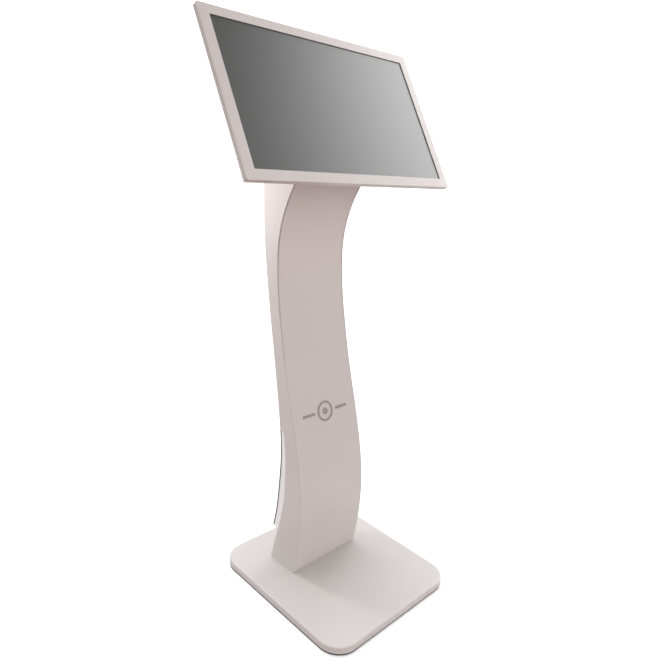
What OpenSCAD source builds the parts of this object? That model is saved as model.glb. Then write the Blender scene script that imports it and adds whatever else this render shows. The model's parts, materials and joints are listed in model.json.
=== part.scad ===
/* [Screen] */
// Width of the lit picture area
screen_w = 698.4; // [690:0.1:706]
// Height of the lit picture area
screen_h = 392.9; // [388:0.1:398]
// Gap between the lit area and the opening in the bezel, each side
screen_gap = 2; // [1:0.5:3]

/* [Head] */
// Width of the white border at the left and right
border_side = 30; // [26:1:36]
// Width of the white border at the top and bottom
border_end = 28; // [26:1:36]
// How far the head leans back from upright, in degrees
head_tilt = 30.5; // [29:0.5:32]
// Distance of the opening's centre behind the base's centre
head_y = 133; // [128:1:138]
// Height of the opening's centre above the floor
head_z = 1348.5; // [1340:0.5:1360]
// Depth of the straight rim behind the front face
rim_depth = 14; // [14:1:18]
// Depth of the whole head
back_depth = 50; // [50:1:54]
// How far the rear cover's sides lean in over its depth
cover_taper = 45; // [40:1:48]
// Radius of the head's corners
head_corner = 6; // [4:1:10]
// Sheet thickness of the head's shells
shell_t = 1.5; // [1:0.1:2]

/* [Column] */
// Width of the column over its cheeks
column_w = 258; // [250:1:270]
// Sheet thickness of the column
skin_t = 2; // [1.5:0.1:3]
// Number of flats on each stretch of the column's curves
curve_steps = 10; // [6:1:16]

/* [Service door] */
// Height of the door's lower edge
door_low = 122; // [120:1:126]
// Height of the door's upper edge
door_high = 440; // [430:1:442]
// How far the door stands back from the column's own rear curve
door_proud = 6; // [5:1:7]
// Sheet thickness of the door
door_t = 1.5; // [1.2:0.1:2]
// Distance of the pivot from the column's centre plane
pivot_x = 108; // [106:1:110]
// Distance of the pivot behind the base's centre
pivot_y = 139; // [138:1:140]
// Radius of the pivot pins
pivot_r = 3; // [2.5:0.5:3.5]

/* [Base] */
// Width of the base
base_w = 480; // [460:5:500]
// Depth of the base
base_d = 500; // [480:5:520]
// Height of the base's top face above the floor
base_top = 24; // [24:1:28]
// Gap between the base's rubber edging and the floor
floor_gap = 1.5; // [1:0.5:2]
// Height of the rubber edging under the base's rim
edging_h = 4.5; // [3:0.5:5]
// Radius of the base's corners seen from above
base_corner = 65; // [55:5:80]
// Radius of the base's top edge
base_round = 4; // [3:1:6]

/* [Fits] */
// Radial running clearance of pins and shafts
run_gap = 0.05; // [0.02:0.01:0.08]
// Radial clearance of screws and bolts in their holes
bolt_gap = 0.2; // [0.1:0.05:0.4]

/* [Hidden] */
$fn = 48;
eps = 0.01;

// Colours that several sub-parts share
paint = [0.85, 0.82, 0.81];
zinc = "darkgray";
steel = "silver";
black = [0.1, 0.1, 0.1];
board_green = [0.08, 0.3, 0.18];

// Radii of bolts, panel screws, small screws and foot screws, and the bolts' hexagon heads
bolt_r = 4;
panel_screw_r = 2;
small_screw_r = 1.5;
foot_screw_r = 2.5;
bolt_head_r = 7.5;
bolt_head_t = 5.3;

// Opening, outline and shell of the head
opening_w = screen_w + 2 * screen_gap;
opening_h = screen_h + 2 * screen_gap;
head_w = opening_w + 2 * border_side;
head_h = opening_h + 2 * border_end;
taper_side = shell_t * norm([back_depth - rim_depth, cover_taper]) / (back_depth - rim_depth);

// Depths behind the front face, from the glass to the electronics
glass_front = 2.4;
glass_back = 8.4;
gasket_back = 14;
lcd_back = 26;
chassis_front = 28;
chassis_back = 30;
board_front = 36;
board_t = 1.6;
board_rear = -board_front - board_t;
inner_back = back_depth - shell_t;

// Outlines of the parts behind the bezel
seal_w = opening_w + 18;
seal_h = opening_h + 18;
glass_w = opening_w + 20;
glass_h = opening_h + 20;
lcd_w = 725;
lcd_h = 418;
chassis_w = 690;
chassis_h = 384;

// A point on the head's rear plane, v along the plane from the opening's centre, as [y, z]
function rear_plane(v) = [
  head_y + v * sin(head_tilt) + back_depth * cos(head_tilt),
  head_z + v * cos(head_tilt) - back_depth * sin(head_tilt)
];
front_v = -160;
rear_v = 35;
front_end = rear_plane(front_v);
rear_end = rear_plane(rear_v);
end_slope = -1 / tan(head_tilt);

// Side view of the column: each node is [height, distance back, slope of distance over height]
front_nodes = [
  [base_top, 48, -0.18], [300, 44.5, 0.18], [650, 145, 0.27],
  [950, 201, 0.02], [1135, 152, -0.55], [front_end[1], front_end[0], end_slope]
];
rear_nodes = [
  [116, 150, -0.26], [300, 133, -0.03], [560, 168, 0.23],
  [1118, 277, 0.07], [1240, 273, -0.2], [rear_end[1], rear_end[0], end_slope]
];
cheek_nodes = [[base_top, 148, -0.18], [270, 107, 0.03], [door_high, 130, 0.34]];

// A smooth curve through the nodes: position and slope at height z
function span_of(nodes, z, i = 0) =
  i >= len(nodes) - 2 || z <= nodes[i + 1][0] ? i : span_of(nodes, z, i + 1);
function y_in(a, b, z) =
  let (h = b[0] - a[0], t = (z - a[0]) / h)
  a[1] * (2 * pow(t, 3) - 3 * pow(t, 2) + 1) + a[2] * h * (pow(t, 3) - 2 * pow(t, 2) + t)
  + b[1] * (3 * pow(t, 2) - 2 * pow(t, 3)) + b[2] * h * (pow(t, 3) - pow(t, 2));
function slope_in(a, b, z) =
  let (h = b[0] - a[0], t = (z - a[0]) / h)
  (a[1] - b[1]) / h * (6 * pow(t, 2) - 6 * t) + a[2] * (3 * pow(t, 2) - 4 * t + 1)
  + b[2] * (3 * pow(t, 2) - 2 * t);
function y_at(nodes, z) = let (i = span_of(nodes, z)) y_in(nodes[i], nodes[i + 1], z);
function slope_at(nodes, z) = let (i = span_of(nodes, z)) slope_in(nodes[i], nodes[i + 1], z);

// Heights along a curve from z0 to z1, and the curve there moved sideways by d, as [y, z]
function heights(nodes, z0, z1) = concat(
  [for (i = [0:len(nodes) - 2])
    let (a = max(nodes[i][0], z0), b = min(nodes[i + 1][0], z1))
    if (b > a + 1) for (k = [0:curve_steps - 1]) a + (b - a) * k / curve_steps],
  [z1]
);
function shifted(nodes, z, d) =
  let (s = slope_at(nodes, z))
  [y_at(nodes, z) + d / norm([1, s]), z - d * s / norm([1, s])];
function trace(nodes, z0, z1, d = 0) = [for (z = heights(nodes, z0, z1)) shifted(nodes, z, d)];
function reversed(list) = [for (i = [len(list) - 1:-1:0]) list[i]];
function strip(nodes, z0, z1, d0, d1) =
  concat(trace(nodes, z0, z1, d0), reversed(trace(nodes, z0, z1, d1)));
function inner_y(nodes, z, t) = y_at(nodes, z) + t * norm([1, slope_at(nodes, z)]);

// The row's origin is under the middle of the whole object
rear_y = max([for (p = trace(rear_nodes, rear_nodes[0][0], rear_end[1])) p[0]]);
centre_y = (rear_y - base_d / 2) / 2;

// Column sizes
cheek_in = column_w / 2 - skin_t;
inside_x = cheek_in - 0.2;
door_half = cheek_in - 0.5;
door_chamfer = 7;
door_gap = 0.8;
door_wall = 1.2 * door_t;
panel_low = door_high + 3;
kick_low = base_top + 2;
kick_high = door_low - 10;
kick_rise = (y_at(cheek_nodes, kick_low) - y_at(cheek_nodes, kick_high)) / (kick_high - kick_low);
kick_lean = atan(kick_rise);
kick_z = (kick_low + kick_high) / 2;
kick_y = (y_at(cheek_nodes, kick_low) + y_at(cheek_nodes, kick_high)) / 2 - 1;
kick_h = (kick_high - kick_low) / cos(kick_lean);
diaphragm_z = [470, 700, 930];

// Lock
lock_x = -88;
lock_z = 285;
lock_r = 9;
plug_r = 6;
lock_y = y_at(rear_nodes, lock_z) + door_proud;
cam_y = 95;
cam_t = 3;
cam_len = 32;

// Inlet and switch on the kick panel, in the panel's own plane
inlet_x = 42;
switch_x = -12;
rocker_turn = 8;
rocker_pivot_r = 1;
rocker_depth = -1;

// Head fasteners and fan, in the head's own plane
mount_x = 80;
mount_v = [-130, 10];
mount_t = 6;
lead_hole_r = 14;
post_x = [-310, -150, 150, 310];
post_v = [-165, 165];
rim_screw_x = [-300, 0, 300];
rim_screw_z = 10;
rim_grip = 5;
fan_x = 215;
fan_v = 70;
fan_size = 80;
fan_t = 15;
fan_bore = 37.5;
hub_r = 17.5;
fan_back = inner_back;
fan_shaft_r = 1.5;
speaker_x = 230;
speaker_depth = 38;
button_x = 265;
button_v = -150;
button_r = 8;
hatch_x = -230;
hatch_v = -120;

// Places: the whole object, the head's plane, the kick panel's plane
module in_frame() {
  translate([0, -centre_y, 0]) children();
}
module at_head() {
  in_frame() translate([0, head_y, head_z]) rotate([90 - head_tilt, 0, 0]) children();
}
module at_kick() {
  in_frame() translate([0, kick_y, kick_z]) rotate([kick_lean - 90, 0, 0]) rotate([0, 0, 180]) children();
}

// Shapes that repeat
module across_x(x0, x1) {
  translate([x0, 0, 0]) rotate([90, 0, 90]) linear_extrude(x1 - x0) children();
}
module rounded_plate(w, h, r, z0, z1) {
  translate([0, 0, z0]) linear_extrude(z1 - z0) {
    square([w - 2 * r, h], center = true);
    square([w, h - 2 * r], center = true);
    for (x = [-1, 1], y = [-1, 1]) translate([x * (w / 2 - r), y * (h / 2 - r)]) circle(r);
  }
}
module box(x0, x1, y0, y1, z0, z1) {
  translate([x0, y0, z0]) cube([x1 - x0, y1 - y0, z1 - z0]);
}
module plate(w, h, z0, z1) {
  box(-w / 2, w / 2, -h / 2, h / 2, z0, z1);
}
module rod(r, z0, z1) {
  translate([0, 0, z0]) cylinder(r = r, h = z1 - z0);
}
module hex(r, z0, z1) {
  translate([0, 0, z0]) cylinder(r = r, h = z1 - z0, $fn = 6);
}

// Base
foot_x = 175;
foot_y = 185;
foot_r = 20;
foot_pocket_r = 6;
foot_pocket = 5;
cover_low = floor_gap + edging_h;
cover_wall = 6;
ballast_low = 10;
ballast_high = 20;
ballast_inset = 8;
foot_bolt_x = 95;
foot_bolt_y = [75, 120];
flange_high = 30;
module at_feet() {
  for (x = [-foot_x, foot_x], y = [-foot_y, foot_y]) translate([x, y, 0]) children();
}
module at_foot_bolts() {
  for (x = [-foot_bolt_x, foot_bolt_x], y = foot_bolt_y) translate([x, y, 0]) children();
}
module base_solid() {
  step = base_top - base_round;
  flat_r = base_corner - base_round;
  rounded_plate(base_w, base_d, base_corner, cover_low, step);
  rounded_plate(base_w - 2 * base_round, base_d - 2 * base_round, flat_r, cover_low, base_top);
  for (side = [-1, 1]) {
    translate([0, side * (base_d / 2 - base_round), step]) rotate([0, 90, 0])
      cylinder(r = base_round, h = base_w - 2 * base_corner, center = true);
    translate([side * (base_w / 2 - base_round), 0, step]) rotate([90, 0, 0])
      cylinder(r = base_round, h = base_d - 2 * base_corner, center = true);
  }
  for (x = [-1, 1], y = [-1, 1])
    translate([x * (base_w / 2 - base_corner), y * (base_d / 2 - base_corner), step])
      rotate_extrude() intersection() {
        translate([flat_r, 0]) circle(base_round);
        translate([0, -base_round]) square([base_corner, 2 * base_round]);
      }
}
module base_inset(d, z0, z1) {
  rounded_plate(base_w - 2 * d, base_d - 2 * d, base_corner - d, z0, z1);
}
module base_cover() {
  color(paint) in_frame() difference() {
    base_solid();
    base_inset(cover_wall, 0, ballast_high);
    at_foot_bolts() rod(bolt_r + bolt_gap, 0, base_top + 1);
  }
}
module base_edging() {
  set_back = 0.6;
  color(black) in_frame() difference() {
    base_inset(set_back, floor_gap, cover_low);
    base_inset(cover_wall, 0, cover_low + 1);
  }
}
module base_ballast_plate() {
  color("dimgray") in_frame() difference() {
    base_inset(ballast_inset, ballast_low, ballast_high);
    at_foot_bolts() rod(bolt_r + bolt_gap, 0, base_top);
    at_feet() rod(foot_screw_r + bolt_gap, 0, base_top);
  }
}
module base_feet() {
  taper = 2;
  color(black) in_frame() at_feet() difference() {
    cylinder(r1 = foot_r - taper, r2 = foot_r, h = ballast_low);
    rod(foot_pocket_r, -1, foot_pocket);
    rod(foot_screw_r + bolt_gap, 0, ballast_low + 1);
  }
}
module foot_screws() {
  head_t = 3;
  grip = 7;
  color(steel) in_frame() at_feet() {
    rod(foot_pocket_r - 1, foot_pocket - head_t, foot_pocket);
    rod(foot_screw_r, foot_pocket - head_t, ballast_low + grip);
  }
}

// Column
module column_foot_flange() {
  clear = 6;
  ear_t = 3;
  ear_h = 45;
  y0 = y_at(front_nodes, flange_high) + clear;
  y1 = kick_y - clear;
  color(zinc) in_frame() difference() {
    union() {
      box(-inside_x, inside_x, y0, y1, base_top, flange_high);
      for (x = [-inside_x, inside_x - ear_t]) box(x, x + ear_t, y0, y1, base_top, base_top + ear_h);
    }
    at_foot_bolts() rod(bolt_r + bolt_gap, 0, flange_high + 1);
  }
}
module column_foot_bolts() {
  color(steel) in_frame() at_foot_bolts() {
    rod(bolt_r, ballast_low + 2, flange_high + 1);
    hex(bolt_head_r, flange_high, flange_high + bolt_head_t);
  }
}
module column_front_skin() {
  color(paint) in_frame()
    across_x(-cheek_in, cheek_in) polygon(strip(front_nodes, base_top, front_end[1], 0, skin_t));
}
module cheek(x0) {
  color(paint) in_frame() across_x(x0, x0 + skin_t) polygon(concat(
    trace(front_nodes, base_top, front_end[1]),
    reversed(trace(rear_nodes, panel_low, rear_end[1])),
    reversed(trace(cheek_nodes, base_top, door_high))
  ));
}
module column_cheek_left() {
  cheek(-column_w / 2);
}
module column_cheek_right() {
  cheek(cheek_in);
}
module column_upper_rear_panel() {
  lip = 12;
  y = y_at(rear_nodes, panel_low);
  color(paint) in_frame() {
    across_x(-cheek_in, cheek_in) polygon(strip(rear_nodes, panel_low, rear_end[1], 0, -skin_t));
    box(-cheek_in, cheek_in, y - lip, y - skin_t / 2, panel_low, panel_low + skin_t);
  }
}
module column_diaphragms() {
  lead_x = -60;
  clear = 1;
  color(zinc) in_frame() for (z = diaphragm_z) {
    y0 = inner_y(front_nodes, z, skin_t) + clear;
    y1 = inner_y(rear_nodes, z, -skin_t) - clear;
    difference() {
      box(-inside_x, inside_x, y0, y1, z, z + skin_t);
      translate([lead_x, (y0 + y1) / 2, 0]) rod(lead_hole_r, z - 1, z + skin_t + 1);
    }
  }
}
// A plain ring and dot between two bars, on the front
module column_emblem() {
  emblem_z = 486;
  ring_r = 30;
  ring_w = 6;
  dot_r = 10;
  bar_from = 42;
  bar_to = 88;
  bar_h = 8;
  low = 0.2;
  high = 1.2;
  lean = atan(slope_at(front_nodes, emblem_z));
  color([0.62, 0.56, 0.54]) in_frame()
    translate([0, y_at(front_nodes, emblem_z), emblem_z]) rotate([90 - lean, 0, 0]) {
      difference() {
        rod(ring_r, low, high);
        rod(ring_r - ring_w, 0, high + 1);
      }
      rod(dot_r, low, high);
      for (x = [-bar_to, bar_from]) box(x, x + bar_to - bar_from, -bar_h / 2, bar_h / 2, low, high);
    }
}

// Kick panel with the mains inlet and switch
module c14_outline(w, h, cut) {
  polygon([[-w / 2, -h / 2], [w / 2, -h / 2], [w / 2, h / 2 - cut], [w / 2 - cut, h / 2],
    [-w / 2 + cut, h / 2], [-w / 2, h / 2 - cut]]);
}
kick_screw_x = 112;
kick_screw_v = 30;
inlet_w = 27.4;
inlet_h = 20;
inlet_depth = 22;
pin_pitch = 7;
pin_rise = 2;
switch_w = 21;
switch_h = 15;
cut_gap = 0.3;
module at_kick_screws() {
  for (x = [-kick_screw_x, kick_screw_x], v = [-kick_screw_v, kick_screw_v]) translate([x, v, 0]) children();
}
module kick_panel() {
  color(paint) at_kick() difference() {
    plate(2 * cheek_in, kick_h, -skin_t, 0);
    translate([inlet_x, 0, 0]) plate(inlet_w + 2 * cut_gap, inlet_h + 2 * cut_gap, -skin_t - 1, 1);
    translate([switch_x, 0, 0]) plate(switch_w + 2 * cut_gap, switch_h + 2 * cut_gap, -skin_t - 1, 1);
    at_kick_screws() rod(panel_screw_r + bolt_gap, -skin_t - 1, 1);
  }
}
module kick_panel_screws() {
  head_r = 4;
  head_t = 2;
  shank = 7;
  color(steel) at_kick() at_kick_screws() {
    rod(head_r, 0, head_t);
    rod(panel_screw_r, -shank, head_t / 2);
  }
}
module inlet_pin_row(z0, z1) {
  for (x = [-pin_pitch, 0, pin_pitch]) translate([x, x == 0 ? pin_rise : -pin_rise, 0]) plate(2, 4, z0, z1);
}
module inlet_socket() {
  flange_t = 2.5;
  recess = 16;
  screw_x = 20;
  color(black) at_kick() translate([inlet_x, 0, 0]) difference() {
    union() {
      plate(inlet_w, inlet_h, -inlet_depth, 1);
      plate(50, 24, 0, flange_t);
    }
    translate([0, 0, flange_t - recess]) linear_extrude(recess + 1) c14_outline(24.4, 16.4, 5);
    inlet_pin_row(-inlet_depth - 1, 0);
    for (x = [-screw_x, screw_x]) translate([x, 0, 0]) rod(1.8, -1, flange_t + 1);
  }
}
module inlet_pins() {
  color(steel) at_kick() translate([inlet_x, 0, 0]) inlet_pin_row(-inlet_depth - 3, -5);
}
module switch_housing() {
  depth = 16;
  well = 10;
  flange_t = 2;
  color(black) at_kick() translate([switch_x, 0, 0]) difference() {
    union() {
      plate(switch_w, switch_h, -depth, 1);
      plate(switch_w + 4, switch_h + 4, 0, flange_t);
    }
    plate(17.6, 12, -well, flange_t + 1);
    translate([0, 0, rocker_depth]) rotate([0, 90, 0])
      cylinder(r = rocker_pivot_r + run_gap, h = 19.4, center = true);
  }
}
module switch_rocker() {
  half_w = 8.5;
  half_h = 5;
  low = -3;
  dip = 2.2;
  tip = 3.4;
  color([0.7, 0.08, 0.06]) at_kick() translate([switch_x, 0, rocker_depth]) rotate([-rocker_turn, 0, 0]) {
    across_x(-half_w, half_w)
      polygon([[-half_h, low], [half_h, low], [half_h, tip], [0, dip], [-half_h, tip]]);
    rotate([0, 90, 0]) cylinder(r = rocker_pivot_r, h = 18.8, center = true);
  }
}
module mains_filter() {
  case_w = 34.8;
  case_y = [52, 92];
  case_z = [160, 250];
  ear_w = 16.8;
  ear_h = 7;
  ear_in = 8;
  color(steel) in_frame() {
    box(-inside_x, case_w - inside_x, case_y[0], case_y[1], case_z[0], case_z[1]);
    for (z = [case_z[0] - ear_h, case_z[1]])
      box(-inside_x, ear_w - inside_x, case_y[0] + ear_in, case_y[1] - ear_in, z, z + ear_h);
  }
}

// A round lead that follows a line of points
lead_r = 4;
lead_sides = 8;
lead_steps = 3;
lead_points = [
  [-42, 108, 76], [-42, 96, 84], [-50, 80, 110], [-60, 66, 180], [-60, 64, 260], [-60, 76, 340],
  [-60, 104, 420], [-60, 122, 480], [-60, 160, 600], [-60, 181, 700], [-60, 202, 800], [-60, 221, 930],
  [-60, 225, 1040], [-55, 222, 1140], [-50, 205, 1190], [-45, 160, 1220]
];
function blend_point(p, i, t) =
  let (a = p[max(i - 1, 0)], b = p[i], c = p[i + 1], d = p[min(i + 2, len(p) - 1)])
  0.5 * (2 * b + (c - a) * t + (2 * a - 5 * b + 4 * c - d) * t * t + (3 * b - a - 3 * c + d) * t * t * t);
function smooth_line(p) = concat(
  [for (i = [0:len(p) - 2]) for (k = [0:lead_steps - 1]) blend_point(p, i, k / lead_steps)],
  [p[len(p) - 1]]
);
function unit(v) = v / norm(v);
module lead(points, r) {
  line = smooth_line(points);
  last = len(line) - 1;
  rings = [for (i = [0:last])
    let (along = unit(line[min(i + 1, last)] - line[max(i - 1, 0)]),
      side = unit(cross(along, [0, 1, 0.01])), other = cross(along, side))
    for (k = [0:lead_sides - 1])
      line[i] + r * (cos(360 * k / lead_sides) * side + sin(360 * k / lead_sides) * other)];
  walls = [for (i = [0:last - 1], k = [0:lead_sides - 1])
    let (a = i * lead_sides + k, b = i * lead_sides + (k + 1) % lead_sides)
    [a, a + lead_sides, b + lead_sides, b]];
  start = [for (k = [0:lead_sides - 1]) k];
  end = [for (k = [lead_sides - 1:-1:0]) last * lead_sides + k];
  polyhedron(points = rings, faces = concat(walls, [start], [end]), convexity = 10);
}
module mains_lead() {
  color([0.15, 0.15, 0.16]) in_frame() lead(lead_points, lead_r);
}

// Service door and its pivots
module at_pivot() {
  translate([pivot_x, pivot_y, 0]) children();
}
// Each bracket as [lower face, upper face]
brackets = [[door_low - 9, door_low - 4], [door_high + 0.6, door_high + 2.6]];
pin_grip = 10;
module door_hinge_brackets() {
  color(zinc) in_frame() for (z = brackets) difference() {
    box(pivot_x - 8, inside_x, pivot_y - 14, pivot_y + 5, z[0], z[1]);
    at_pivot() rod(pivot_r + run_gap, 0, head_z);
  }
}
module door_hinge_pins() {
  color(steel) in_frame() at_pivot() {
    rod(pivot_r, brackets[0][0], door_low + pin_grip);
    rod(pivot_r, door_high - pin_grip, brackets[1][1]);
  }
}
module lock_striker() {
  catch_y = cam_y + cam_t + 2;
  catch_t = 2.5;
  catch_w = 14.8;
  half_h = 12;
  foot_y = catch_y - 16;
  color(zinc) in_frame() {
    box(-inside_x, catch_w - inside_x, catch_y, catch_y + catch_t, lock_z - half_h, lock_z + half_h);
    box(-inside_x, 2 - inside_x, foot_y, catch_y + catch_t, lock_z - half_h, lock_z + half_h);
  }
}
// Outline of the door seen from above at height z: outer face, then inner face
function door_section(z) =
  let (front = y_at(cheek_nodes, z) + door_gap,
    rear = y_at(rear_nodes, z) + door_proud,
    flat = door_half - door_chamfer,
    edge = door_half - door_wall)
  [[-door_half, front], [-flat, rear], [flat, rear], [door_half, front],
    [edge, front], [flat - door_t, rear - door_t], [door_t - flat, rear - door_t], [-edge, front]];
module door_shell() {
  zs = heights(rear_nodes, door_low, door_high);
  n = len(door_section(door_low));
  rings = [for (z = zs) for (p = door_section(z)) [p[0], p[1], z]];
  last = len(zs) - 1;
  walls = [for (i = [0:last - 1], k = [0:n - 1])
    let (a = i * n + k, b = i * n + (k + 1) % n) [a, b, b + n, a + n]];
  start = [for (k = [0:2]) [n - 1 - k, n - 2 - k, k + 1, k]];
  end = [for (k = [0:2]) [last * n + k, last * n + k + 1, last * n + n - 2 - k, last * n + n - 1 - k]];
  polyhedron(points = rings, faces = concat(walls, start, end), convexity = 6);
}
module door_end(z, z_shape) {
  s = door_section(z_shape);
  translate([0, 0, z]) linear_extrude(door_t) polygon([
    s[0] + [door_t, 0], s[1] + [door_t, -door_t / 2], s[2] - [door_t, door_t / 2], s[3] - [door_t, 0]]);
}
module service_door() {
  color([0.93, 0.92, 0.91]) in_frame() difference() {
    union() {
      door_shell();
      door_end(door_low, door_low + door_t);
      door_end(door_high - door_t, door_high);
    }
    along_lock() rod(lock_r + bolt_gap, lock_y - 20, lock_y + 20);
    for (z = [door_low, door_high]) at_pivot() rod(pivot_r + pin_clear, z - 2 * door_t, z + 2 * door_t);
  }
}
pin_clear = 0.6;
module door_pivot_blocks() {
  block_h = 12;
  color(zinc) in_frame() for (z = [door_low + door_t, door_high - door_t - block_h]) difference() {
    box(pivot_x - 10, pivot_x + 7, pivot_y - 7, pivot_y + 6, z, z + block_h);
    at_pivot() rod(pivot_r + run_gap, 0, head_z);
  }
}
module door_edge_trim() {
  trim_w = 3;
  trim_t = 4.2;
  x = door_half - door_chamfer;
  color([0.3, 0.3, 0.3]) in_frame() translate([0, door_proud, 0]) for (x0 = [-x, x - trim_w])
    across_x(x0, x0 + trim_w) polygon(strip(rear_nodes, door_low, door_high, 0.1, trim_t));
}
module along_lock() {
  translate([lock_x, 0, lock_z]) rotate([-90, 0, 0]) children();
}
module at_lock() {
  in_frame() along_lock() children();
}
module lock_barrel() {
  color(steel) at_lock() difference() {
    union() {
      rod(lock_r, cam_y + cam_t + 1, lock_y);
      rod(lock_r, lock_y - 1, lock_y + 1);
      rod(lock_r + 3, lock_y + 0.8, lock_y + 3);
    }
    rod(plug_r + run_gap, 0, lock_y + 10);
  }
}
module lock_nut() {
  color(steel) at_lock() difference() {
    hex(14, lock_y - door_t - 5, lock_y - door_t - 0.5);
    rod(lock_r + run_gap, 0, lock_y);
  }
}
module lock_plug() {
  color("gold") at_lock() difference() {
    rod(plug_r, cam_y + cam_t, lock_y + 2);
    box(-0.8, 0.8, -3.5, 3.5, lock_y - 6, lock_y + 5);
  }
}
module lock_cam() {
  hub = 8;
  half_w = 6;
  color("gray") in_frame() difference() {
    union() {
      along_lock() rod(hub, cam_y, cam_y + cam_t);
      box(lock_x - half_w, lock_x + half_w, cam_y, cam_y + cam_t, lock_z, lock_z + cam_len);
    }
    along_lock() rod(panel_screw_r, cam_y - 1, cam_y + cam_t + 1);
  }
}

// Head structure
module at_mounts() {
  for (x = [-mount_x, mount_x], v = mount_v) translate([x, v, 0]) children();
}
module at_posts() {
  for (x = post_x, v = post_v) translate([x, v, 0]) children();
}
module at_lead_hole() {
  translate([-45, -60, 0]) children();
}
module head_mount_plate() {
  color(zinc) at_head() difference() {
    box(-inside_x, inside_x, front_v + 6, rear_v - 8, -back_depth - mount_t, -back_depth);
    at_mounts() rod(bolt_r + bolt_gap, -back_depth - 10, 0);
    at_lead_hole() rod(lead_hole_r, -back_depth - 10, 0);
  }
}
module head_mount_bolts() {
  color(steel) at_head() at_mounts() {
    rod(bolt_r, -back_depth - mount_t - 1, -chassis_back + 1);
    hex(bolt_head_r, -back_depth - mount_t - bolt_head_t, -back_depth - mount_t);
  }
}
module head_chassis() {
  window = 40;
  color(steel) at_head() difference() {
    union() {
      plate(chassis_w, chassis_h, -chassis_back, -chassis_front);
      at_mounts() rod(11, -inner_back, -chassis_back + eps);
      at_posts() rod(6, -inner_back, -chassis_back + eps);
    }
    at_mounts() rod(bolt_r + bolt_gap, -back_depth, 0);
    at_posts() rod(panel_screw_r + bolt_gap, -back_depth, -chassis_back - 2);
    at_lcd_screws() rod(panel_screw_r + bolt_gap, -back_depth, 0);
    at_board_screws() rod(small_screw_r + bolt_gap, -back_depth, 0);
    translate([-40, -90, 0]) plate(window, window, -back_depth, 0);
  }
}
// Solid inside of the rear cover's tapered outline, shrunk by t sideways
module cover_solid(t, z0) {
  half_w = head_w / 2 - t;
  half_h = head_h / 2 - t;
  function lean_in(z) = (-z - rim_depth) * cover_taper / (back_depth - rim_depth);
  intersection() {
    rotate([90, 0, 0]) linear_extrude(2 * head_h, center = true) polygon([
      [-half_w, -rim_depth], [-half_w + lean_in(z0), z0], [half_w - lean_in(z0), z0], [half_w, -rim_depth]]);
    rotate([90, 0, 90]) linear_extrude(2 * head_w, center = true) polygon([
      [-half_h, -rim_depth], [-half_h + lean_in(z0), z0], [half_h - lean_in(z0), z0], [half_h, -rim_depth]]);
    rounded_plate(2 * half_w, 2 * half_h, head_corner, z0 - 1, 1);
  }
}
vent_w = 3;
vent_pitch = 7;
grille_h = 18;
module vent_rows(rows, count) {
  slot_h = 26;
  bridge = 5;
  for (r = [0:rows - 1], i = [0:count - 1])
    translate([(i - (count - 1) / 2) * vent_pitch, (r - (rows - 1) / 2) * (slot_h + bridge), 0])
      plate(vent_w, slot_h, -back_depth - 5, -inner_back + 5);
}
module at_slope_speaker(side) {
  lean = atan((back_depth - rim_depth) / cover_taper);
  inward = (speaker_depth - rim_depth) / tan(lean);
  translate([side * speaker_x, inward - head_h / 2, -speaker_depth]) rotate([-lean, 0, 0]) children();
}
module rear_cover() {
  lip_out = shell_t + 0.3;
  color(paint) at_head() difference() {
    union() {
      difference() {
        cover_solid(0, -back_depth);
        cover_solid(taper_side, -inner_back);
      }
      difference() {
        rounded_plate(head_w - 2 * lip_out, head_h - 2 * lip_out, head_corner - lip_out, -rim_depth - 2, -6);
        plate(head_w - 2 * lip_out - 3, head_h - 2 * lip_out - 3, -back_depth, 0);
      }
    }
    translate([fan_x, fan_v, 0]) vent_rows(2, 9);
    translate([-fan_x, fan_v, 0]) vent_rows(2, 9);
    for (side = [-1, 1]) at_slope_speaker(side)
      for (i = [-5:5]) translate([i * vent_pitch, 0, 0]) plate(vent_w, grille_h, -8, 8);
    at_posts() rod(panel_screw_r + bolt_gap, -back_depth - 1, 0);
    at_mounts() rod(bolt_r + bolt_gap, -back_depth - 1, 0);
    at_lead_hole() rod(lead_hole_r, -back_depth - 1, 0);
    translate([button_x, button_v, 0]) rod(collar_r + bolt_gap, -back_depth - 1, 0);
    translate([hatch_x, hatch_v, 0])
      plate(hatch_w - 2 * hatch_rim, hatch_h - 2 * hatch_rim, -back_depth - 1, 0);
    for (x = rim_screw_x, side = [-1, 1])
      translate([x, side * head_h / 2, -rim_screw_z]) rotate([90, 0, 0])
        cylinder(r = small_screw_r + bolt_gap, h = 20, center = true);
  }
}
module rear_cover_screws() {
  color(steel) at_head() at_posts() {
    rod(4, -back_depth - 2, -back_depth);
    rod(panel_screw_r, -back_depth - 1, -chassis_back - 4);
  }
}
module at_rim_screws() {
  at_head() for (x = rim_screw_x, side = [-1, 1])
    translate([x, side * (head_h / 2 - rim_grip), -rim_screw_z]) rotate([-side * 90, 0, 0]) children();
}
module rim_screws() {
  head_r = 2.8;
  color(steel) at_rim_screws() {
    rod(small_screw_r, 0, rim_grip - 0.6);
    rod(head_r, rim_grip - 1.2, rim_grip - 0.2);
  }
}
module bezel_frame() {
  color(paint) difference() {
    at_head() rounded_plate(head_w, head_h, head_corner, -rim_depth, 0);
    at_head() translate([0, 0, -shell_t])
      rounded_plate(head_w - 2 * shell_t, head_h - 2 * shell_t, head_corner - shell_t, -rim_depth, 0);
    at_head() plate(opening_w, opening_h, -rim_depth, 1);
    at_rim_screws() {
      rod(small_screw_r + bolt_gap, 0, 2 * rim_grip);
      rod(3, rim_grip - shell_t, 2 * rim_grip);
    }
  }
}
module front_seal() {
  set_back = 0.5;
  color(black) at_head() difference() {
    plate(seal_w, seal_h, -glass_front, -shell_t);
    plate(opening_w + 2 * set_back, opening_h + 2 * set_back, -back_depth, 1);
  }
}
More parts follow.
